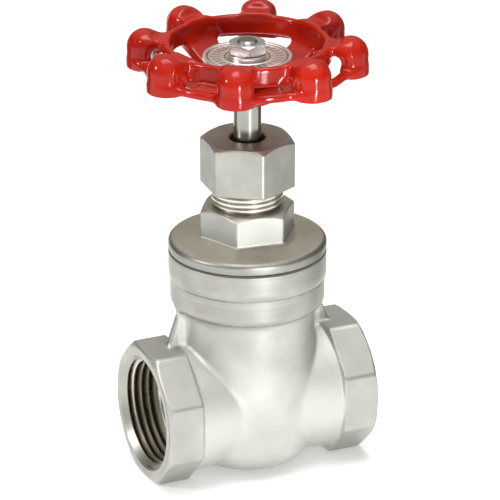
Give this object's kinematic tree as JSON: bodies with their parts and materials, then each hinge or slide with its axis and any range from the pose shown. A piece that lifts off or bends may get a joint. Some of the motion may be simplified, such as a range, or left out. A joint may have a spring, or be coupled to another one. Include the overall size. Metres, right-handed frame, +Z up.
{
  "type": "gate valve",
  "caption": "Screwed-end gate valve in stainless steel with octagonal ends, a round screwed bonnet, a hexagonal packing nut and a red lobed handwheel that lifts its wedge.",
  "frame": {"origin": "centre of the footprint: below the stem's axis, on the plane that the bottom flats of the two octagonal ends rest on", "axes": "+X along the pipe's axis from inlet to outlet, +Z up along the stem, +Y across, away from the side that is shown"},
  "size_m": [0.0676, 0.0676, 0.133],
  "materials": {
    "cast_stainless": "satin, blasted investment casting with turned faces",
    "turned_stainless": "machined and tumbled",
    "polished_stainless": "ground and polished",
    "washer_stainless": "plain stamped or turned",
    "gasket_black": "matte",
    "ptfe": "waxy",
    "red_paint": "gloss enamel",
    "plate_aluminium": "pressed and printed"
  },
  "bodies": {
    "valve_body": {"body": "cast_stainless", "bonnet_gasket": "gasket_black", "bonnet": "cast_stainless", "stem_lock_ring": "turned_stainless", "lower_thrust_washer": "washer_stainless", "upper_thrust_washer": "washer_stainless", "packing_washer": "washer_stainless", "packing_ring_1": "ptfe", "packing_ring_2": "ptfe", "packing_ring_3": "ptfe", "packing_ring_4": "ptfe", "gland_follower": "turned_stainless", "packing_nut": "turned_stainless"},
    "stem_and_wheel": {"stem": "polished_stainless", "handwheel": "red_paint", "nameplate": "plate_aluminium", "spring_washer": "washer_stainless", "handwheel_nut": "washer_stainless"},
    "wedge": {"wedge": "cast_stainless"}
  },
  "joints": [
    {"name": "stem_turn", "type": "hinge", "parent": "valve_body", "child": "stem_and_wheel", "pos_m": [0, 0, 0.115], "axis": [0, 0, 1], "range_deg": [0, 3120]},
    {"name": "wedge_slide", "type": "slide", "parent": "valve_body", "child": "wedge", "axis": [0, 0, 1], "range_m": [0, 0.026]}
  ],
  "couplings": [
    {"joint": "wedge_slide", "follows": "stem_turn", "m_per_rad": 0.00047746}
  ]
}
